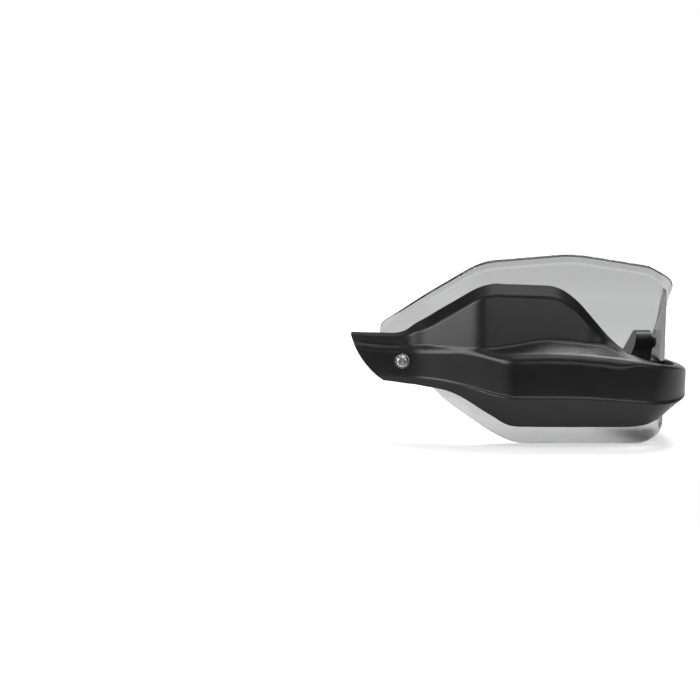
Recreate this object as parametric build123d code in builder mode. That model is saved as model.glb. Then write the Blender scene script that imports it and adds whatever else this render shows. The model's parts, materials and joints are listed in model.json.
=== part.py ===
"""Motorcycle hand guard: moulded shell, smoked wind deflector and their fixings.

Millimetres. +X runs outboard along the handlebar, -Y points forward, +Z up.
The origin lies on the handlebar axis, at the face that seats on the bar end.
"""

import math
import os

from build123d import *

# Shell, plan view: distances ahead of the handlebar axis
WALL = 3.0
BAND_FORWARD = 104.0
HUMP_FORWARD = 85.0
NECK_FORWARD = 63.0
TIP_FORWARD = 57.0
TURN_RADIUS = 44.0
END_X = 41.3
END_BEHIND = 16.0

# Shell, front view: places along the handlebar
TIP_X = -247.0
NECK_END_X = -190.0
HUMP_FOOT_X = -203.0
HUMP_LEFT_X = -134.0
HUMP_RIGHT_X = -66.0
SHOULDER_X = -17.0
BAND_LEFT_X = -115.0
WEDGE_LEFT_X = -118.0
FACET_LEFT_X = -138.0
FACET_RIGHT_X = -55.0

# Shell, front view: heights
NECK_TOP_Z = 42.2
NECK_BOTTOM_Z = -0.2
HUMP_TOP_Z = 86.0
HUMP_FALL = 2.5
SHOULDER_Z = 28.0
RIM_Z = 18.0
RIM_END_Z = 16.0
CREASE_TIP_Z = 31.5
CREASE_Z = 25.5
CREASE_END_Z = 10.0
LEDGE_Z = -9.0
LEDGE_END_Z = -7.0
BAND_BOTTOM_Z = -34.5
END_BOTTOM_Z = -22.5

# Shell, section details
BEVEL_HEIGHT = 11.0
BEVEL_LEAN = 0.55
HUMP_LEAN = 0.04
WEDGE_HEIGHT = 12.0
WEDGE_LEAN = 1.6
LEDGE_OUT = 1.6
FRONT_LEAN = 2.0
LOWER_RUN = 8.0
END_LOWER_RUN = 14.5
BEVEL_RADIUS = 6.0
FOOT_RADIUS = 5.0
CREASE_RADIUS = 10.0
LEDGE_RADIUS = 1.4
LEDGE_BACK_RADIUS = 4.0
TIP_TOP = (-243.6, 41.6)
TIP_SHOULDER = (-245.5, 40.8)
TIP_SIDE = (-246.3, 38.8)
TIP_BOW = (-236.2, 17.2)
TIP_LOW = (-217.5, -1.2)
END_ROUND_RADIUS = 21.0
END_ROUND_Z = -3.0
EDGE_CROWN = 0.8
SHELL_PITCH = 11.0
TIP_SPARE = 12.0
END_SPARE = 6.0

# Wind deflector
SCREEN_THICK = 3.0
SCREEN_BEHIND_HUMP = 13.5
SCREEN_EAR_FORWARD = 48.5
SCREEN_INNER_X = -221.0
SCREEN_EAR_END_X = -182.0
SCREEN_BEND_LEFT_X = -140.0
SCREEN_BEND_RIGHT_X = -52.0
SCREEN_TURN_X = 12.0
SCREEN_TURN_RADIUS = 12.0
SCREEN_REAR_Y = -16.0
SCREEN_TOP_Z = 107.5
SCREEN_BOTTOM_Z = -53.0
LIP_OUT = 5.0
LIP_HEIGHT = 6.0
LIP_RADIUS = 2.0
SEAT_DEPTH = 0.2
SEAT_MARGIN = 0.5
SCREEN_PITCH = 8.0

# Fixing at the lever end
LEVER_X = -202.0
LEVER_Z = 16.5
LEVER_SEAT_FORWARD = 60.0
LEVER_SEAT_RADIUS = 8.0
LEVER_BOSS_RADIUS = 10.0
LEVER_SCREW_RADIUS = 3.0
LEVER_SHANK_RADIUS = 2.7
LEVER_SCREW_LENGTH = 35.0
LEVER_HEAD_RADIUS = 5.25
LEVER_HEAD_HEIGHT = 3.3
LEVER_SOCKET_FLATS = 4.0
LEVER_WASHER_RADIUS = 6.4
LEVER_WASHER_THICK = 1.2
LEVER_SLEEVE_WALL = 1.3
LEVER_FLANGE_RADIUS = 9.0
LEVER_FLANGE_THICK = 1.5
GROMMET_RADIUS = 10.0
GROMMET_NECK_RADIUS = 7.0
GROMMET_FLANGE = 2.0
PAD_ROUND = 0.6
HEAD_ROUND = 0.65
SOCKET_DEPTH = 0.6
SCREW_POINT = 0.6
THREAD_GAP = 0.5

# Bar-end bracket and bush
BUSH_BORE_RADIUS = 4.25
BUSH_WALL = 1.5
END_RECESS_RADIUS = 10.0
END_RECESS_DEPTH = 1.2
HUB_RADIUS = 12.0
HUB_LENGTH = 29.0
SPIGOT_RADIUS = 9.0
SPIGOT_LENGTH = 34.0
FOOT_THICK = 8.0
FOOT_SEAT = 0.4
FOOT_HEIGHT = 11.0
FOOT_Z = 1.5
FOOT_REACH = 46.0
FOOT_BEHIND = 9.0
LUG_RADIUS = 11.0
LUG_INNER_X = 6.0
SIDE_FIX_Y = -27.0
SIDE_FIX_Z = 29.0
BRACKET_SCREW_SPOTS = ((-24.0, FOOT_Z), (-38.0, FOOT_Z))

# Screen fixings
FIX_PLACES = ((-122.0, 64.0), (-66.0, 58.0), (-98.0, 3.0), (-66.0, 3.0))
FIX_SCREW_RADIUS = 2.5
FIX_SCREW_LENGTH = 12.0
FIX_HEAD_RADIUS = 4.6
FIX_HEAD_HEIGHT = 3.0
FIX_SOCKET_FLATS = 3.0
FIX_WASHER_RADIUS = 5.2
FIX_WASHER_THICK = 1.0
PAD_RADIUS = 5.8
PAD_THICK = 2.0
INSERT_RADIUS = 3.5
INSERT_LENGTH = 6.0
INSERT_GROOVE = 1.2
BOSS_RADIUS = 6.5
COUNTERSUNK_RADIUS = 4.6
BRACKET_SCREW_LENGTH = 10.0

# Clearances
THREAD_CLEAR = 0.05
HOLE_CLEAR = 0.25
SLIP_CLEAR = 0.1

TURN_X = END_X - TURN_RADIUS
TURN_Y = TURN_RADIUS - BAND_FORWARD
TURN_ARC = TURN_RADIUS * math.pi / 2
SIDE_S = TURN_X + TURN_ARC
END_S = SIDE_S - TURN_Y + END_BEHIND
REAR_S = END_S + END_SPARE
START_S = TIP_X - TIP_SPARE
BAND_OUT = BAND_FORWARD + TURN_Y
END_INNER_X = END_X - WALL


def ramp(u, half):
    """Zero, then a straight rise, with the corner between them eased over 2 x half."""
    if u <= -half:
        return 0.0
    if u >= half:
        return u
    return (u + half) ** 2 / (4 * half)


def guide(s, knots):
    """Value at s of a line through (s, value, ease) knots, each corner eased."""
    slope = (knots[1][1] - knots[0][1]) / (knots[1][0] - knots[0][0])
    value = knots[0][1] + slope * (s - knots[0][0])
    for here, after in zip(knots[1:], knots[2:]):
        turn = (after[1] - here[1]) / (after[0] - here[0])
        value += (turn - slope) * ramp(s - here[0], here[2])
        slope = turn
    return value


def step(s, start, end):
    """Smooth change from 0 at start to 1 at end."""
    u = min(max((s - start) / (end - start), 0.0), 1.0)
    return u * u * (3 - 2 * u)


def section_plane(s, turn_x, turn_y, radius):
    """Upright plane across the path at s: straight, round the turn, then straight back."""
    angle = min(max((s - turn_x) / radius, 0.0), math.pi / 2)
    behind = max(s - turn_x - radius * math.pi / 2, 0.0)
    out = (math.sin(angle), -math.cos(angle), 0)
    along = (-math.cos(angle), -math.sin(angle), 0)
    return Plane(origin=(min(s, turn_x), turn_y + behind, 0), x_dir=out, z_dir=along)


def shifted(points, distance):
    """The same line moved inwards by the distance, corners mitred."""
    normals = []
    for (r0, z0), (r1, z1) in zip(points, points[1:]):
        length = math.hypot(r1 - r0, z1 - z0)
        normals.append(((z1 - z0) / length, (r0 - r1) / length))
    before = [normals[0]] + normals
    after = normals + [normals[-1]]
    moved = []
    for (r, z), a, b in zip(points, before, after):
        reach = distance / (1 + a[0] * b[0] + a[1] * b[1])
        moved.append((r + reach * (a[0] + b[0]), z + reach * (a[1] + b[1])))
    return moved


def rounded_line(points, radii):
    """Lines and corner arcs through the points, no arc taking over half a side."""
    pieces = []
    last = Vector(*points[0])
    for before, point, after, radius in zip(points, points[1:], points[2:], radii):
        corner = Vector(*point)
        back = Vector(*before) - corner
        ahead = Vector(*after) - corner
        half = back.get_angle(ahead) * math.pi / 360
        reach = min(radius / math.tan(half), 0.48 * min(back.length, ahead.length))
        sag = reach * math.tan(half) * (1 / math.sin(half) - 1)
        start = corner + back.normalized() * reach
        end = corner + ahead.normalized() * reach
        middle = corner + (back.normalized() + ahead.normalized()).normalized() * sag
        pieces += [(last, start), (start, middle, end)]
        last = end
    return pieces + [(last, Vector(*points[-1]))]


def crowned_edge(front, before, back):
    """Shallow arc across the wall's edge, from the front line's end to the back line's."""
    start = Vector(*front)
    end = Vector(*back)
    beyond = (start - Vector(*before)).normalized()
    return [(start, (start + end) / 2 + beyond * EDGE_CROWN, end)]


def wall_section(front, front_radii, back, back_radii):
    """Closed outline of a wall between its front and back lines."""
    pieces = rounded_line(front, front_radii)
    pieces += crowned_edge(front[-1], front[-2], back[-1])
    pieces += rounded_line(back[::-1], back_radii[::-1])
    pieces += crowned_edge(back[0], back[1], front[0])
    for piece in pieces:
        if len(piece) == 2:
            Line(*piece)
        else:
            ThreePointArc(*piece)


def stations(start, end, pitch):
    """Evenly spread places from start to end, about a pitch apart."""
    count = math.ceil((end - start) / pitch)
    return [start + (end - start) * i / count for i in range(count + 1)]


# Guide lines of the shell, each a list of (place, value, ease)
TOP_LINE = (
    (START_S, NECK_TOP_Z + 0.5, 1),
    (HUMP_FOOT_X, NECK_TOP_Z - 0.5, 7),
    (HUMP_LEFT_X, HUMP_TOP_Z, 12),
    (HUMP_RIGHT_X, HUMP_TOP_Z - HUMP_FALL, 16),
    (SHOULDER_X, SHOULDER_Z, 14),
    (TURN_X + 20, RIM_Z, 12),
    (SIDE_S, RIM_Z, 20),
    (END_S, RIM_END_Z, 1),
)
CREASE_LINE = (
    (START_S, CREASE_TIP_Z, 1),
    (TIP_X + 25, CREASE_Z + 0.5, 14),
    (FACET_RIGHT_X, CREASE_Z - 0.5, 30),
    (TURN_X + 12, CREASE_Z - 8.0, 20),
    (SIDE_S, CREASE_END_Z, 20),
    (END_S, CREASE_END_Z, 1),
)
LEDGE_LINE = (
    (START_S, NECK_BOTTOM_Z + 7.0, 1),
    (BAND_LEFT_X - 48, NECK_BOTTOM_Z + 1.5, 15),
    (BAND_LEFT_X - 6, LEDGE_Z, 10),
    (FACET_RIGHT_X, LEDGE_Z + 0.5, 20),
    (TURN_X + 30, LEDGE_Z - 6.0, 25),
    (SIDE_S, LEDGE_END_Z, 20),
    (END_S, LEDGE_END_Z, 1),
)
BOTTOM_LINE = (
    (START_S, NECK_BOTTOM_Z, 1),
    (TIP_X + 25, NECK_BOTTOM_Z, 8),
    (BAND_LEFT_X - 45, NECK_BOTTOM_Z - 7.5, 12),
    (BAND_LEFT_X + 1, BAND_BOTTOM_Z, 8),
    (TURN_X - 4, BAND_BOTTOM_Z, 10),
    (TURN_X + 55, END_BOTTOM_Z, 20),
    (END_S, END_BOTTOM_Z, 1),
)
BAND_LINE = (
    (START_S, TIP_FORWARD + TURN_Y, 1),
    (NECK_END_X, NECK_FORWARD + TURN_Y, 12),
    (BAND_LEFT_X - 35, HUMP_FORWARD - 5 + TURN_Y, 8),
    (BAND_LEFT_X, BAND_OUT - 3.0, 8),
    (BAND_LEFT_X + 30, BAND_OUT, 12),
    (END_S, BAND_OUT, 1),
)
HUMP_LINE = (
    (START_S, TIP_FORWARD - 3 + TURN_Y, 1),
    (NECK_END_X, NECK_FORWARD - 2.5 + TURN_Y, 12),
    (FACET_LEFT_X, HUMP_FORWARD + TURN_Y, 8),
    (FACET_RIGHT_X, HUMP_FORWARD + TURN_Y, 12),
    (TURN_X, HUMP_FORWARD - 4 + TURN_Y, 15),
    (END_S, HUMP_FORWARD - 4 + TURN_Y, 1),
)
WEDGE_LINE = (
    (START_S, WEDGE_HEIGHT * 0.36, 1),
    (WEDGE_LEFT_X, WEDGE_HEIGHT * 0.42, 10),
    (WEDGE_LEFT_X + 33, WEDGE_HEIGHT, 8),
    (FACET_RIGHT_X, WEDGE_HEIGHT * 0.95, 12),
    (SHOULDER_X, WEDGE_HEIGHT * 0.7, 10),
    (END_S, WEDGE_HEIGHT * 0.7, 1),
)
LEAN_LINE = (
    (START_S, WEDGE_LEAN, 1),
    (TURN_X - 10, WEDGE_LEAN, 10),
    (SIDE_S, WEDGE_LEAN * 1.1, 20),
    (END_S, WEDGE_LEAN * 1.1, 1),
)
RUN_LINE = (
    (START_S, LOWER_RUN * 0.3, 1),
    (BAND_LEFT_X - 50, LOWER_RUN * 0.4, 10),
    (BAND_LEFT_X, LOWER_RUN, 10),
    (TURN_X - 5, LOWER_RUN, 15),
    (TURN_X + 45, END_LOWER_RUN, 15),
    (END_S, END_LOWER_RUN, 1),
)


def shell_section(s):
    """Outer points from the top edge to the bottom edge, then the inner ones back."""
    top = guide(s, TOP_LINE)
    crease = guide(s, CREASE_LINE)
    ledge = guide(s, LEDGE_LINE)
    out = guide(s, BAND_LINE)
    hump = guide(s, HUMP_LINE)
    lean = guide(s, LEAN_LINE)
    wedge = min(guide(s, WEDGE_LINE), 0.45 * (top - crease))
    foot = crease + wedge
    bevel = min(BEVEL_HEIGHT, 0.42 * (top - foot))
    brow = top - bevel
    rim = step(s, SHOULDER_X - 25, SHOULDER_X + 7)
    hump_brow = hump - HUMP_LEAN * (brow - foot) - 0.3
    foot_r = (1 - rim) * hump + rim * (out - 0.82 * lean * wedge)
    brow_r = (1 - rim) * hump_brow + rim * (out - 0.92 * lean * (brow - crease))
    top_r = (1 - rim) * (hump_brow - BEVEL_LEAN * bevel) + rim * (out - 1.03 * lean * (top - crease))
    on_band = step(s, BAND_LEFT_X - 55, BAND_LEFT_X)
    on_front = 1 - step(s, TURN_X + 20, SIDE_S)
    ledge_out = LEDGE_OUT * (0.2 + 0.8 * on_band * on_front)
    ledge_r = out - FRONT_LEAN * (0.25 + 0.75 * on_band) * on_front
    low = (ledge_r + ledge_out - guide(s, RUN_LINE), guide(s, BOTTOM_LINE))
    upper = [(top_r, top - WALL / 2), (brow_r, brow), (foot_r, foot), (out, crease)]
    outer = upper + [(ledge_r, ledge + 1.2), (ledge_r + ledge_out, ledge - 0.8), low]
    inner = shifted(upper + [(ledge_r, ledge), low], WALL)
    return outer, inner


OUTER_RADII = (BEVEL_RADIUS, FOOT_RADIUS, CREASE_RADIUS, LEDGE_RADIUS * 0.7, LEDGE_RADIUS)
INNER_RADII = (BEVEL_RADIUS - WALL, FOOT_RADIUS + WALL, CREASE_RADIUS - WALL, LEDGE_BACK_RADIUS)

# Shell blank, lofted through upright sections from the tip round to the bar end
with BuildPart() as shell_blank:
    for s in stations(START_S, REAR_S, SHELL_PITCH):
        with BuildSketch(section_plane(s, TURN_X, TURN_Y, TURN_RADIUS)):
            with BuildLine():
                outer, inner = shell_section(s)
                wall_section(outer, OUTER_RADII, inner, INNER_RADII)
            make_face()
    loft()

# Guide lines of the screen
SCREEN_TURN_Y = TURN_Y
SCREEN_SIDE_S = SCREEN_TURN_X + SCREEN_TURN_RADIUS * math.pi / 2
SCREEN_END_S = SCREEN_SIDE_S + SCREEN_REAR_Y - SCREEN_TURN_Y
SCREEN_FORWARD = HUMP_FORWARD - SCREEN_BEHIND_HUMP
SCREEN_SIDE_X = SCREEN_TURN_X + SCREEN_TURN_RADIUS
SCREEN_LINE = (
    (SCREEN_INNER_X, SCREEN_EAR_FORWARD + SCREEN_TURN_Y, 1),
    (SCREEN_EAR_END_X, SCREEN_EAR_FORWARD + SCREEN_TURN_Y, 8),
    (SCREEN_BEND_LEFT_X, SCREEN_FORWARD + SCREEN_TURN_Y, 8),
    (SCREEN_BEND_RIGHT_X, SCREEN_FORWARD + SCREEN_TURN_Y, 8),
    (SCREEN_TURN_X, SCREEN_TURN_RADIUS, 4),
    (SCREEN_END_S, SCREEN_TURN_RADIUS, 1),
)
SCREEN_TOP_LINE = (
    (SCREEN_INNER_X, SCREEN_TOP_Z - 70.0, 1),
    (SCREEN_INNER_X + 3.5, SCREEN_TOP_Z - 58.0, 3),
    (SCREEN_INNER_X + 16, SCREEN_TOP_Z - 50.5, 6),
    (SCREEN_BEND_LEFT_X + 3, SCREEN_TOP_Z - 6.5, 12),
    (SCREEN_BEND_RIGHT_X - 8, SCREEN_TOP_Z, 14),
    (SCREEN_TURN_X - 6, SCREEN_TOP_Z - 10.5, 6),
    (SCREEN_SIDE_S, SCREEN_TOP_Z - 27.5, 8),
    (SCREEN_SIDE_S + 22, SCREEN_TOP_Z - 59.0, 8),
    (SCREEN_END_S, SCREEN_TOP_Z - 79.0, 1),
)
SCREEN_LOW_LINE = (
    (SCREEN_INNER_X, 8.0, 1),
    (SCREEN_EAR_END_X, 0.0, 5),
    (SCREEN_EAR_END_X + 17, -17.5, 8),
    (SCREEN_BEND_LEFT_X + 21, SCREEN_BOTTOM_Z + 6.0, 8),
    (SCREEN_BEND_LEFT_X + 37, SCREEN_BOTTOM_Z, 6),
    (SCREEN_TURN_X - 5, SCREEN_BOTTOM_Z, 7),
    (SCREEN_SIDE_S - 4, SCREEN_BOTTOM_Z + 16.0, 7),
    (SCREEN_END_S, SCREEN_BOTTOM_Z + 41.0, 1),
)
LIP_LINE = (
    (SCREEN_INNER_X, LIP_OUT * 0.12, 1),
    (SCREEN_INNER_X + 24, LIP_OUT * 0.8, 8),
    (SCREEN_BEND_LEFT_X, LIP_OUT, 10),
    (SCREEN_TURN_X, LIP_OUT, 8),
    (SCREEN_SIDE_S + 14, LIP_OUT * 0.8, 6),
    (SCREEN_SIDE_S + 30, LIP_OUT * 0.12, 6),
    (SCREEN_END_S, LIP_OUT * 0.1, 1),
)

def screen_section(s):
    """Front line of the screen from lip to lower edge, then the rear line back."""
    face = guide(s, SCREEN_LINE)
    top = guide(s, SCREEN_TOP_LINE)
    lip = guide(s, LIP_LINE)
    low = guide(s, SCREEN_LOW_LINE)
    front = [(face + lip, top), (face, top - LIP_HEIGHT), (face, low)]
    return front, shifted(front, SCREEN_THICK)


# Screen blank, lofted the same way
with BuildPart() as screen_blank:
    for s in stations(SCREEN_INNER_X, SCREEN_END_S, SCREEN_PITCH):
        with BuildSketch(section_plane(s, SCREEN_TURN_X, SCREEN_TURN_Y, SCREEN_TURN_RADIUS)):
            with BuildLine():
                front, rear = screen_section(s)
                wall_section(front, [LIP_RADIUS], rear, [LIP_RADIUS + SCREEN_THICK])
            make_face()
    loft()


def ahead(forward, x=0.0, z=0.0):
    """Upright plane facing forward, a distance ahead of the handlebar axis."""
    return Plane(origin=(x, -forward, z), x_dir=(1, 0, 0), z_dir=(0, -1, 0))


def across(x, y=0.0, z=0.0, way=1):
    """Upright plane facing outboard, or inboard where way is -1."""
    return Plane(origin=(x, y, z), x_dir=(0, way, 0), z_dir=(way, 0, 0))


def seats(depth):
    """Planes of the screen's fixings, a depth past the face that takes the washers."""
    rear = SCREEN_FORWARD - SCREEN_THICK + SEAT_DEPTH
    front_seats = [ahead(rear + depth, x, z) for x, z in FIX_PLACES]
    return front_seats + [across(SCREEN_SIDE_X - SEAT_DEPTH - depth, SIDE_FIX_Y, SIDE_FIX_Z, -1)]


def wall_middle(x, z):
    """How far ahead the middle of the shell's wall lies at a place on its front."""
    outer = shell_section(x)[0]
    for (r0, z0), (r1, z1) in zip(outer, outer[1:]):
        if z >= z1:
            break
    return r0 + (r1 - r0) * (z0 - z) / (z0 - z1) - WALL / 2 - TURN_Y


SEAT_THICK = SCREEN_THICK - 2 * SEAT_DEPTH
PAD_FACE = SEAT_THICK + PAD_THICK
FIX_HOLE_RADIUS = FIX_SCREW_RADIUS + HOLE_CLEAR
FIX_INSERT_HOLE = INSERT_LENGTH + 1.0
INSERT_HOLE_RADIUS = INSERT_RADIUS + THREAD_CLEAR
SLEEVE_BORE_RADIUS = LEVER_SCREW_RADIUS + HOLE_CLEAR
SLEEVE_RADIUS = SLEEVE_BORE_RADIUS + LEVER_SLEEVE_WALL
EAR_FRONT = SCREEN_EAR_FORWARD - SEAT_DEPTH
EAR_REAR = EAR_FRONT - SEAT_THICK
BOSS_REAR = EAR_FRONT + GROMMET_FLANGE
GROMMET_REAR = EAR_REAR - GROMMET_FLANGE
BUSH_RADIUS = BUSH_BORE_RADIUS + BUSH_WALL
BUSH_END_X = END_X - END_RECESS_DEPTH
LUG_OUTER_X = SCREEN_SIDE_X - SEAT_DEPTH - PAD_FACE
COUNTERSINK = COUNTERSUNK_RADIUS - FIX_SCREW_RADIUS
FOOT_LENGTH = FOOT_BEHIND + FOOT_REACH
FOOT_CENTRE = ((FOOT_BEHIND - FOOT_REACH) / 2, FOOT_Z)
BOSS_FORWARD = SCREEN_FORWARD - SEAT_DEPTH + PAD_THICK
FIX_SEAT_RADIUS = PAD_RADIUS + SEAT_MARGIN
FOOT_FACE_X = END_INNER_X + FOOT_SEAT
LEVER_HEAD_SEAT = LEVER_SEAT_FORWARD + LEVER_WASHER_THICK
LEVER_TIP_FORWARD = LEVER_HEAD_SEAT - LEVER_SCREW_LENGTH
LEVER_THREAD_FORWARD = GROMMET_REAR - LEVER_FLANGE_THICK - THREAD_GAP

# Guard shell: blank cut to length, bosses added, holes made
with BuildPart() as guard_shell:
    add(shell_blank.part)
    with BuildSketch(Plane.XZ):
        with BuildLine():
            ThreePointArc(TIP_TOP, TIP_SHOULDER, TIP_SIDE)
            ThreePointArc(TIP_SIDE, TIP_BOW, TIP_LOW)
            left = TIP_X - 2 * TIP_SPARE
            Polyline(TIP_LOW, (TIP_LOW[0], -NECK_TOP_Z), (left, -NECK_TOP_Z), (left, HUMP_TOP_Z))
            Polyline((left, HUMP_TOP_Z), (TIP_TOP[0], HUMP_TOP_Z), TIP_TOP)
        make_face()
    extrude(amount=BAND_FORWARD, mode=Mode.SUBTRACT)
    with BuildSketch(across(TURN_X, END_BEHIND - END_ROUND_RADIUS, END_ROUND_Z)):
        Rectangle(2 * BAND_FORWARD, 2 * BAND_FORWARD, align=(Align.MIN, Align.CENTER))
        Circle(END_ROUND_RADIUS, mode=Mode.SUBTRACT)
    extrude(amount=2 * END_X, mode=Mode.SUBTRACT)
    with BuildSketch(ahead(BOSS_REAR, LEVER_X, LEVER_Z)):
        Circle(LEVER_BOSS_RADIUS)
    extrude(amount=LEVER_SEAT_FORWARD - BOSS_REAR)
    for x, z in FIX_PLACES:
        with BuildSketch(ahead(BOSS_FORWARD, x, z)):
            Circle(BOSS_RADIUS)
        extrude(amount=wall_middle(x, z) - BOSS_FORWARD)
    with BuildSketch(*seats(PAD_FACE)[:-1]):
        Circle(INSERT_HOLE_RADIUS)
    extrude(amount=FIX_INSERT_HOLE, mode=Mode.SUBTRACT)
    with BuildSketch(ahead(LEVER_SEAT_FORWARD, LEVER_X, LEVER_Z)):
        Circle(LEVER_SEAT_RADIUS)
    extrude(amount=WALL, mode=Mode.SUBTRACT)
    with BuildSketch(ahead(BOSS_REAR, LEVER_X, LEVER_Z)):
        Circle(SLEEVE_RADIUS + SLIP_CLEAR)
    extrude(amount=LEVER_SEAT_FORWARD - BOSS_REAR, mode=Mode.SUBTRACT)
    with BuildSketch(across(BUSH_END_X)):
        Circle(END_RECESS_RADIUS)
    extrude(amount=WALL, mode=Mode.SUBTRACT)
    with BuildSketch(across(FOOT_FACE_X)):
        with Locations(FOOT_CENTRE):
            SlotOverall(FOOT_LENGTH + 2 * SLIP_CLEAR, FOOT_HEIGHT + 2 * SLIP_CLEAR)
    extrude(amount=-WALL, mode=Mode.SUBTRACT)
    with BuildSketch(across(FOOT_FACE_X)):
        Circle(BUSH_RADIUS + SLIP_CLEAR)
        with Locations(*BRACKET_SCREW_SPOTS):
            Circle(FIX_HOLE_RADIUS)
    extrude(amount=WALL, both=True, mode=Mode.SUBTRACT)
    with BuildSketch(across(END_X, way=-1)):
        with Locations(*[(-y, z) for y, z in BRACKET_SCREW_SPOTS]):
            Circle(COUNTERSUNK_RADIUS + SLIP_CLEAR)
    extrude(amount=COUNTERSINK, taper=45, mode=Mode.SUBTRACT)

# Wind deflector: blank with flat seats and holes for its fixings
with BuildPart() as wind_deflector:
    add(screen_blank.part)
    with BuildSketch(*seats(0)):
        Circle(FIX_SEAT_RADIUS)
    extrude(amount=-SCREEN_THICK, mode=Mode.SUBTRACT)
    with BuildSketch(*seats(SEAT_THICK)):
        Circle(FIX_SEAT_RADIUS)
    extrude(amount=SCREEN_THICK, mode=Mode.SUBTRACT)
    with BuildSketch(*seats(0)):
        Circle(FIX_HOLE_RADIUS)
    extrude(amount=SEAT_THICK, mode=Mode.SUBTRACT)
    with BuildSketch(ahead(EAR_FRONT, LEVER_X, LEVER_Z)):
        Circle(GROMMET_RADIUS + SEAT_MARGIN)
    extrude(amount=SCREEN_THICK, mode=Mode.SUBTRACT)
    with BuildSketch(ahead(EAR_REAR, LEVER_X, LEVER_Z)):
        Circle(GROMMET_RADIUS + SEAT_MARGIN)
    extrude(amount=-SCREEN_THICK, mode=Mode.SUBTRACT)
    with BuildSketch(ahead(EAR_REAR, LEVER_X, LEVER_Z)):
        Circle(GROMMET_NECK_RADIUS)
    extrude(amount=SEAT_THICK, mode=Mode.SUBTRACT)

# Lever-end screw: head with hex socket, slim shank, thread that stands out behind the sleeve
with BuildPart() as lever_screw:
    with BuildSketch(ahead(LEVER_HEAD_SEAT, LEVER_X, LEVER_Z)):
        Circle(LEVER_HEAD_RADIUS)
    extrude(amount=LEVER_HEAD_HEIGHT)
    fillet(lever_screw.edges().sort_by(Axis.Y)[0], LEVER_HEAD_HEIGHT * HEAD_ROUND)
    with BuildSketch(ahead(LEVER_HEAD_SEAT + LEVER_HEAD_HEIGHT, LEVER_X, LEVER_Z)):
        RegularPolygon(LEVER_SOCKET_FLATS / 2, 6, major_radius=False)
    extrude(amount=-LEVER_HEAD_HEIGHT * SOCKET_DEPTH, mode=Mode.SUBTRACT)
    with BuildSketch(ahead(LEVER_THREAD_FORWARD, LEVER_X, LEVER_Z)):
        Circle(LEVER_SHANK_RADIUS)
    extrude(amount=LEVER_HEAD_SEAT - LEVER_THREAD_FORWARD)
    with BuildSketch(ahead(LEVER_TIP_FORWARD, LEVER_X, LEVER_Z)):
        Circle(LEVER_SCREW_RADIUS)
    extrude(amount=LEVER_THREAD_FORWARD - LEVER_TIP_FORWARD)
    chamfer(lever_screw.edges().sort_by(Axis.Y)[-1], SCREW_POINT)

with BuildPart() as lever_washer:
    with BuildSketch(ahead(LEVER_SEAT_FORWARD, LEVER_X, LEVER_Z)):
        Circle(LEVER_WASHER_RADIUS)
        Circle(SLEEVE_BORE_RADIUS, mode=Mode.SUBTRACT)
    extrude(amount=LEVER_WASHER_THICK)

# Sleeve and rubber ring that carry the screen's ear
with BuildPart() as lever_sleeve:
    with BuildSketch(ahead(GROMMET_REAR, LEVER_X, LEVER_Z)):
        Circle(SLEEVE_RADIUS)
    extrude(amount=LEVER_SEAT_FORWARD - GROMMET_REAR)
    with BuildSketch(ahead(GROMMET_REAR, LEVER_X, LEVER_Z)):
        Circle(LEVER_FLANGE_RADIUS)
    extrude(amount=-LEVER_FLANGE_THICK)
    with BuildSketch(ahead(GROMMET_REAR - LEVER_FLANGE_THICK, LEVER_X, LEVER_Z)):
        Circle(SLEEVE_BORE_RADIUS)
    extrude(amount=LEVER_SEAT_FORWARD, mode=Mode.SUBTRACT)

with BuildPart() as lever_grommet:
    with BuildSketch(ahead(EAR_FRONT, LEVER_X, LEVER_Z)):
        Circle(GROMMET_RADIUS)
    extrude(amount=GROMMET_FLANGE)
    with BuildSketch(ahead(GROMMET_REAR, LEVER_X, LEVER_Z)):
        Circle(GROMMET_RADIUS)
    extrude(amount=GROMMET_FLANGE)
    fillet(lever_grommet.edges(), PAD_ROUND)
    with BuildSketch(ahead(GROMMET_REAR + GROMMET_FLANGE / 2, LEVER_X, LEVER_Z)):
        Circle(GROMMET_NECK_RADIUS)
    extrude(amount=SEAT_THICK + GROMMET_FLANGE)
    with BuildSketch(ahead(GROMMET_REAR, LEVER_X, LEVER_Z)):
        Circle(SLEEVE_RADIUS)
    extrude(amount=BOSS_REAR, mode=Mode.SUBTRACT)

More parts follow.
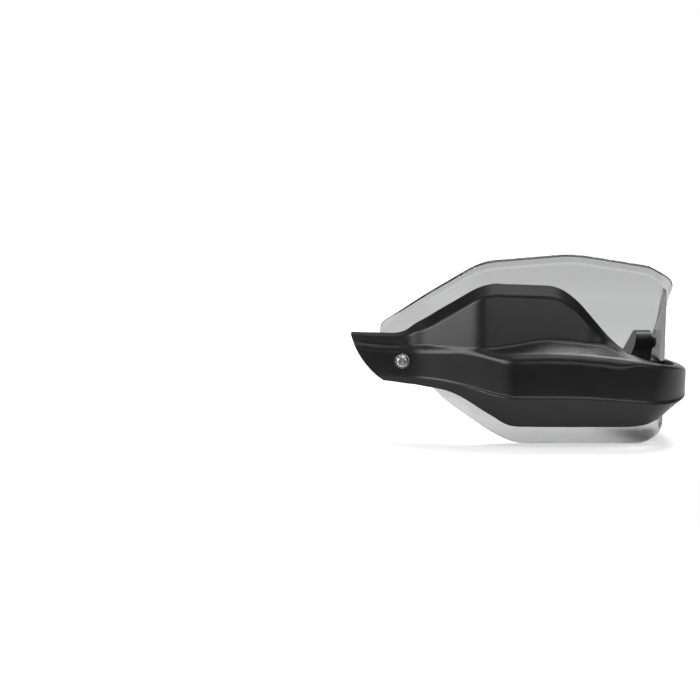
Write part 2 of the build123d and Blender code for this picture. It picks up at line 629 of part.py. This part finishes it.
# Bracket inside the outer end: hub, arm with its lug, foot on the end wall
with BuildPart() as bar_end_bracket:
    with BuildSketch(across(0)):
        Circle(HUB_RADIUS)
        with Locations((SIDE_FIX_Y, SIDE_FIX_Z)):
            Circle(LUG_RADIUS)
        make_hull()
    extrude(amount=LUG_OUTER_X)
    with BuildSketch(Plane.XZ):
        lug_top = SIDE_FIX_Z + LUG_RADIUS
        Polygon((0, HUB_RADIUS), (LUG_INNER_X, lug_top), (0, lug_top), align=None)
    extrude(amount=BAND_FORWARD, mode=Mode.SUBTRACT)
    with BuildSketch(across(0)):
        Circle(HUB_RADIUS)
    extrude(amount=HUB_LENGTH)
    with BuildSketch(across(0)):
        Circle(SPIGOT_RADIUS)
    extrude(amount=SPIGOT_LENGTH)
    with BuildSketch(across(FOOT_FACE_X - FOOT_THICK)):
        with Locations(FOOT_CENTRE):
            SlotOverall(FOOT_LENGTH, FOOT_HEIGHT)
    extrude(amount=FOOT_THICK)
    with BuildSketch(across(0)):
        Circle(BUSH_RADIUS + SLIP_CLEAR)
    extrude(amount=FOOT_FACE_X, mode=Mode.SUBTRACT)
    with BuildSketch(across(FOOT_FACE_X - FOOT_THICK)):
        with Locations(*BRACKET_SCREW_SPOTS):
            Circle(INSERT_HOLE_RADIUS)
    extrude(amount=FOOT_THICK, mode=Mode.SUBTRACT)
    with BuildSketch(seats(PAD_FACE)[-1]):
        Circle(INSERT_HOLE_RADIUS)
    extrude(amount=FIX_INSERT_HOLE, mode=Mode.SUBTRACT)

with BuildPart() as bar_end_bush:
    with BuildSketch(across(0)):
        Circle(BUSH_RADIUS)
        Circle(BUSH_BORE_RADIUS, mode=Mode.SUBTRACT)
    extrude(amount=BUSH_END_X)

# Countersunk screw and threaded insert, each drawn once along +Z
with BuildPart() as flush_screw:
    with BuildSketch():
        Circle(COUNTERSUNK_RADIUS)
    extrude(amount=COUNTERSINK, taper=45)
    with BuildSketch():
        Circle(FIX_SCREW_RADIUS)
    extrude(amount=BRACKET_SCREW_LENGTH)
    chamfer(flush_screw.edges().sort_by(Axis.Z)[-1], SCREW_POINT)
    with BuildSketch():
        RegularPolygon(FIX_SOCKET_FLATS / 2, 6, major_radius=False)
    extrude(amount=COUNTERSINK, mode=Mode.SUBTRACT)

with BuildPart() as insert:
    with BuildSketch():
        Circle(INSERT_RADIUS)
    extrude(amount=INSERT_LENGTH)
    with BuildSketch(Plane.XY.offset((INSERT_LENGTH - INSERT_GROOVE) / 2)):
        Circle(INSERT_RADIUS)
        Circle(INSERT_RADIUS - INSERT_GROOVE / 3, mode=Mode.SUBTRACT)
    extrude(amount=INSERT_GROOVE, mode=Mode.SUBTRACT)
    with BuildSketch():
        Circle(FIX_SCREW_RADIUS + THREAD_CLEAR)
    extrude(amount=INSERT_LENGTH, mode=Mode.SUBTRACT)

with BuildPart() as bracket_screws:
    with Locations(*[across(END_X, y, z, -1) for y, z in BRACKET_SCREW_SPOTS]):
        add(flush_screw.part)

with BuildPart() as bracket_inserts:
    with Locations(*[across(FOOT_FACE_X, y, z, -1) for y, z in BRACKET_SCREW_SPOTS]):
        add(insert.part)

# Screen fixings: pan-head screw drawn once, then the four groups
with BuildPart() as pan_screw:
    with BuildSketch():
        Circle(FIX_HEAD_RADIUS)
    extrude(amount=-FIX_HEAD_HEIGHT)
    fillet(pan_screw.edges().sort_by(Axis.Z)[0], FIX_HEAD_HEIGHT * HEAD_ROUND)
    with BuildSketch(Plane.XY.offset(-FIX_HEAD_HEIGHT)):
        RegularPolygon(FIX_SOCKET_FLATS / 2, 6, major_radius=False)
    extrude(amount=FIX_HEAD_HEIGHT * SOCKET_DEPTH, mode=Mode.SUBTRACT)
    with BuildSketch():
        Circle(FIX_SCREW_RADIUS)
    extrude(amount=FIX_SCREW_LENGTH)
    chamfer(pan_screw.edges().sort_by(Axis.Z)[-1], SCREW_POINT)

with BuildPart() as deflector_screws:
    with Locations(*seats(-FIX_WASHER_THICK)):
        add(pan_screw.part)

with BuildPart() as deflector_washers:
    with BuildSketch(*seats(-FIX_WASHER_THICK)):
        Circle(FIX_WASHER_RADIUS)
        Circle(FIX_HOLE_RADIUS, mode=Mode.SUBTRACT)
    extrude(amount=FIX_WASHER_THICK)

with BuildPart() as deflector_pads:
    with BuildSketch(*seats(SEAT_THICK)):
        Circle(PAD_RADIUS)
        Circle(FIX_HOLE_RADIUS, mode=Mode.SUBTRACT)
    extrude(amount=PAD_THICK)

with BuildPart() as deflector_inserts:
    with Locations(*seats(PAD_FACE)):
        add(insert.part)

os.makedirs("parts", exist_ok=True)
for label, piece in (
    ("guard_shell", guard_shell),
    ("wind_deflector", wind_deflector),
    ("lever_screw", lever_screw),
    ("lever_washer", lever_washer),
    ("lever_sleeve", lever_sleeve),
    ("lever_grommet", lever_grommet),
    ("bar_end_bracket", bar_end_bracket),
    ("bar_end_bush", bar_end_bush),
    ("bracket_screws", bracket_screws),
    ("bracket_inserts", bracket_inserts),
    ("deflector_screws", deflector_screws),
    ("deflector_washers", deflector_washers),
    ("deflector_pads", deflector_pads),
    ("deflector_inserts", deflector_inserts),
):
    piece.part.label = label
    export_step(piece.part, f"parts/{label}.step")
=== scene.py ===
"""Looks, light and camera for the motorcycle hand guard."""

import json
import math

import bpy
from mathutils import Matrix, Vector


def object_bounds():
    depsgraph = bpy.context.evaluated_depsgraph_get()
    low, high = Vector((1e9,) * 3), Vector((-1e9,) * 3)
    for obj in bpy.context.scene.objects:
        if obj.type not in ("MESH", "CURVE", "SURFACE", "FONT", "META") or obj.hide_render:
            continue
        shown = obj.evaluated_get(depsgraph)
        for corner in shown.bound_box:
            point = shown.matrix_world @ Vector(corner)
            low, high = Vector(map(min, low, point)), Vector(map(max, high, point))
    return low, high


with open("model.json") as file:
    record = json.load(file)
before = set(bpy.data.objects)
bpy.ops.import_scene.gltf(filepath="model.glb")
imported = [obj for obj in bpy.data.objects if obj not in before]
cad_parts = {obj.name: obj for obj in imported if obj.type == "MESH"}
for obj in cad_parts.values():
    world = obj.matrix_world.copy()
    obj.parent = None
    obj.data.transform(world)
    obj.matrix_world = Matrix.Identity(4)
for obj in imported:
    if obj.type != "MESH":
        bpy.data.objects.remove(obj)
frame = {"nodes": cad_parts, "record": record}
cad_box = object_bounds()

WHITE = (1, 1, 1, 1)

# A noise value lies mostly between these two
NOISE_LOW = 0.3
NOISE_HIGH = 0.7

# Scale of the marks on metal and on rubber
METAL_MARKS = 700
RUBBER_MARKS = 500

# Screen: refraction of clear plastic, and its smoke tint per metre of plastic
SCREEN_IOR = 1.49
SMOKE_COLOUR = (0.5, 0.505, 0.51, 1)
SMOKE_DENSITY = 360.0

# Floor: a table that ends a hand's width in front of the part, so that the shell mirrors less of it
FLOOR_REACH = 6.0
FLOOR_FRONT = -0.2
FLOOR_COLOUR = (0.9, 0.9, 0.9, 1)
FLOOR_ROUGHNESS = 0.9

# Lift of the floor towards white: everywhere for the camera, and with the distance for all looks
NEAR_LIFT = 0.45
FAR_LIFT = 0.55
LIFT_REACH = (0.3, 1.6)

# Studio: dim round about and light overhead, changing over a range of the direction's Z;
# the white backdrop that shows in mirrors begins over a range of the direction's Y
STUDIO_LIGHT = (0.08, 0.65)
OVERHEAD = (0.55, 0.9)
BACKDROP = (0.25, 0.6)
BACKDROP_LIGHT = 1.0

# A count of bounces below this is none
NO_BOUNCE = 0.5

# Point that the lamps are turned to
AIM = (-0.1, -0.07, 0.03)

# Camera, as the photograph was taken
CAMERA_AT = (-0.247, -1.0279, 0.1448)
CAMERA_TILT = math.radians(7)
CAMERA_LENS = 58.2
CAMERA_SENSOR = 36.0
CAMERA_NEAR = 0.01


def new_material(name):
    """A node material, with its tree and its main shader."""
    material = bpy.data.materials.new(name)
    material.use_nodes = True
    tree = material.node_tree
    return material, tree, tree.nodes["Principled BSDF"]


def noise(tree, scale, detail):
    """Noise over the surface, in the part's own coordinates."""
    place = tree.nodes.new("ShaderNodeTexCoord")
    texture = tree.nodes.new("ShaderNodeTexNoise")
    texture.inputs["Scale"].default_value = scale
    texture.inputs["Detail"].default_value = detail
    tree.links.new(place.outputs["Object"], texture.inputs["Vector"])
    return texture.outputs["Fac"]


def spread(tree, value, low, high, start=NOISE_LOW, end=NOISE_HIGH):
    """A value that runs from low to high while another runs from start to end."""
    node = tree.nodes.new("ShaderNodeMapRange")
    node.inputs["From Min"].default_value = start
    node.inputs["From Max"].default_value = end
    node.inputs["To Min"].default_value = low
    node.inputs["To Max"].default_value = high
    tree.links.new(value, node.inputs["Value"])
    return node.outputs["Result"]


def tint(tree, value, dark, light):
    """A colour that runs from dark to light with a noise value."""
    ramp = tree.nodes.new("ShaderNodeValToRGB")
    first, last = ramp.color_ramp.elements
    first.position = NOISE_LOW
    first.color = (*dark, 1)
    last.position = NOISE_HIGH
    last.color = (*light, 1)
    tree.links.new(value, ramp.inputs["Fac"])
    return ramp.outputs["Color"]


def bump(tree, value, strength, distance, under=None):
    """Bump from a height value, on top of another bump where one is given."""
    node = tree.nodes.new("ShaderNodeBump")
    node.inputs["Strength"].default_value = strength
    node.inputs["Distance"].default_value = distance
    tree.links.new(value, node.inputs["Height"])
    if under:
        tree.links.new(under, node.inputs["Normal"])
    return node.outputs["Normal"]


def combine(tree, operation, first, second):
    """One operation on two values, each an output or a number."""
    node = tree.nodes.new("ShaderNodeMath")
    node.operation = operation
    for value, socket in zip((first, second), node.inputs):
        if isinstance(value, (int, float)):
            socket.default_value = value
        else:
            tree.links.new(value, socket)
    return node.outputs["Value"]


def black_plastic():
    """Satin moulded plastic with a fine grain."""
    material, tree, shader = new_material("satin_black")
    shade = tint(
        tree,
        noise(tree, scale=60, detail=4),
        dark=(0.007, 0.007, 0.0075),
        light=(0.011, 0.011, 0.0115),
    )
    gloss = spread(tree, noise(tree, scale=35, detail=5), low=0.285, high=0.335)
    flow = bump(tree, noise(tree, scale=22, detail=2), strength=0.05, distance=0.002)
    pores = noise(tree, scale=1600, detail=2)
    grain = bump(tree, pores, strength=0.12, distance=0.0002, under=flow)
    tree.links.new(shade, shader.inputs["Base Color"])
    tree.links.new(gloss, shader.inputs["Roughness"])
    tree.links.new(grain, shader.inputs["Normal"])
    return material


def smoke_screen():
    """Clear plastic sheet whose light smoke tint deepens with the way through it."""
    material, tree, shader = new_material("light_smoke")
    shader.inputs["Base Color"].default_value = WHITE
    shader.inputs["Transmission Weight"].default_value = 1.0
    shader.inputs["IOR"].default_value = SCREEN_IOR
    gloss = spread(tree, noise(tree, scale=30, detail=3), low=0.0, high=0.02)
    waves = bump(tree, noise(tree, scale=14, detail=1), strength=0.03, distance=0.002)
    tree.links.new(gloss, shader.inputs["Roughness"])
    tree.links.new(waves, shader.inputs["Normal"])
    smoke = tree.nodes.new("ShaderNodeVolumeAbsorption")
    smoke.inputs["Color"].default_value = SMOKE_COLOUR
    smoke.inputs["Density"].default_value = SMOKE_DENSITY
    tree.links.new(smoke.outputs["Volume"], tree.nodes["Material Output"].inputs["Volume"])
    return material


def metal(name, dark, light, smooth, rough):
    """Bare or treated metal with fine marks."""
    material, tree, shader = new_material(name)
    shader.inputs["Metallic"].default_value = 1.0
    marks = noise(tree, METAL_MARKS, detail=4)
    relief = bump(tree, marks, strength=0.1, distance=0.0001)
    tree.links.new(tint(tree, marks, dark, light), shader.inputs["Base Color"])
    tree.links.new(spread(tree, marks, smooth, rough), shader.inputs["Roughness"])
    tree.links.new(relief, shader.inputs["Normal"])
    return material


def rubber():
    """Matt black rubber."""
    material, tree, shader = new_material("matt_rubber")
    marks = noise(tree, RUBBER_MARKS, detail=3)
    shade = tint(tree, marks, dark=(0.012, 0.012, 0.012), light=(0.022, 0.022, 0.022))
    relief = bump(tree, marks, strength=0.2, distance=0.0002)
    tree.links.new(shade, shader.inputs["Base Color"])
    tree.links.new(spread(tree, marks, low=0.65, high=0.8), shader.inputs["Roughness"])
    tree.links.new(relief, shader.inputs["Normal"])
    return material


def softbox(name, at, width, height, power, shows_through=True):
    """A rectangular lamp turned to the part, which shows through the screen or not."""
    lamp = bpy.data.lights.new(name, "AREA")
    lamp.shape = "RECTANGLE"
    lamp.size = width
    lamp.size_y = height
    lamp.energy = power
    holder = bpy.data.objects.new(name, lamp)
    holder.location = at
    holder.rotation_euler = (Vector(AIM) - Vector(at)).to_track_quat("-Z", "Y").to_euler()
    holder.visible_transmission = shows_through
    bpy.context.collection.objects.link(holder)


LOOKS = {
    "black_plastic": black_plastic(),
    "smoke_screen": smoke_screen(),
    "bright_steel": metal(
        "bright_steel_look",
        dark=(0.6, 0.6, 0.61),
        light=(0.72, 0.72, 0.73),
        smooth=0.16,
        rough=0.3,
    ),
    "dark_steel": metal(
        "dark_steel_look",
        dark=(0.03, 0.03, 0.032),
        light=(0.06, 0.06, 0.063),
        smooth=0.35,
        rough=0.5,
    ),
    "rubber": rubber(),
    "brass": metal(
        "brass_look",
        dark=(0.62, 0.43, 0.16),
        light=(0.75, 0.55, 0.25),
        smooth=0.22,
        rough=0.36,
    ),
}

for part in frame["record"]["subparts"]:
    mesh = frame["nodes"][part["node"]].data
    mesh.materials.clear()
    mesh.materials.append(LOOKS[part["material_slot"]])

# Floor: pale, with a lift towards white where it is looked at, more so far from the lamps
floor_z = cad_box[0][2]
floor_mesh = bpy.data.meshes.new("floor")
floor_mesh.from_pydata(
    [
        (-FLOOR_REACH, FLOOR_FRONT, floor_z),
        (FLOOR_REACH, FLOOR_FRONT, floor_z),
        (FLOOR_REACH, FLOOR_REACH, floor_z),
        (-FLOOR_REACH, FLOOR_REACH, floor_z),
    ],
    [],
    [(0, 1, 2, 3)],
)
floor = bpy.data.objects.new("floor", floor_mesh)
bpy.context.collection.objects.link(floor)
material, tree, shader = new_material("floor_look")
shader.inputs["Base Color"].default_value = FLOOR_COLOUR
shader.inputs["Roughness"].default_value = FLOOR_ROUGHNESS
shader.inputs["Specular IOR Level"].default_value = 0.0
shader.inputs["Emission Color"].default_value = WHITE
place = tree.nodes.new("ShaderNodeTexCoord")
distance = tree.nodes.new("ShaderNodeVectorMath")
distance.operation = "LENGTH"
tree.links.new(place.outputs["Object"], distance.inputs[0])
path = tree.nodes.new("ShaderNodeLightPath")
seen = combine(tree, "MAXIMUM", path.outputs["Is Camera Ray"], path.outputs["Is Glossy Ray"])
seen = combine(tree, "MAXIMUM", seen, path.outputs["Is Transmission Ray"])
near = combine(tree, "MULTIPLY", path.outputs["Is Camera Ray"], NEAR_LIFT)
far = spread(tree, distance.outputs["Value"], 0, FAR_LIFT, *LIFT_REACH)
far = combine(tree, "MULTIPLY", seen, far)
tree.links.new(combine(tree, "ADD", near, far), shader.inputs["Emission Strength"])
floor_mesh.materials.append(material)

# World: the studio where it lights; white where the camera looks at it, also straight through
# the screen, and towards the back in mirrors
world = bpy.data.worlds.new("studio")
world.use_nodes = True
bpy.context.scene.world = world
tree = world.node_tree
background = tree.nodes["Background"]
place = tree.nodes.new("ShaderNodeTexCoord")
direction = tree.nodes.new("ShaderNodeSeparateXYZ")
tree.links.new(place.outputs["Generated"], direction.inputs["Vector"])
studio = spread(tree, direction.outputs["Z"], *STUDIO_LIGHT, *OVERHEAD)
path = tree.nodes.new("ShaderNodeLightPath")
bounces = combine(tree, "ADD", path.outputs["Glossy Depth"], path.outputs["Diffuse Depth"])
through = combine(tree, "LESS_THAN", bounces, NO_BOUNCE)
through = combine(tree, "MULTIPLY", through, path.outputs["Is Transmission Ray"])
mirrored = spread(tree, direction.outputs["Y"], 0, 1, *BACKDROP)
mirrored = combine(tree, "MULTIPLY", mirrored, path.outputs["Is Glossy Ray"])
seen = combine(tree, "MAXIMUM", through, mirrored)
seen = combine(tree, "MAXIMUM", seen, path.outputs["Is Camera Ray"])
strength = tree.nodes.new("ShaderNodeMix")
tree.links.new(seen, strength.inputs["Factor"])
tree.links.new(studio, strength.inputs["A"])
strength.inputs["B"].default_value = BACKDROP_LIGHT
background.inputs["Color"].default_value = WHITE
tree.links.new(strength.outputs["Result"], background.inputs["Strength"])

# Lamps
softbox("top_back", at=(0.18, 0.28, 1.15), width=0.72, height=0.5, power=11.5)
softbox("top_front", at=(0.12, -0.68, 1.15), width=0.9, height=0.6, power=2.6)
softbox(
    "left_front",
    at=(-1.18, -1.04, 0.28),
    width=0.75,
    height=0.5,
    power=8,
    shows_through=False,
)
softbox(
    "front",
    at=(0.42, -2.5, 0.32),
    width=1.45,
    height=0.45,
    power=5.6,
    shows_through=False,
)

# Camera
camera = bpy.data.cameras.new("camera")
camera.lens = CAMERA_LENS
camera.sensor_width = CAMERA_SENSOR
camera.clip_start = CAMERA_NEAR
holder = bpy.data.objects.new("camera", camera)
holder.location = CAMERA_AT
holder.rotation_euler = (math.pi / 2 - CAMERA_TILT, 0, 0)
bpy.context.collection.objects.link(holder)
bpy.context.scene.camera = holder
bpy.context.scene.view_settings.view_transform = "Standard"
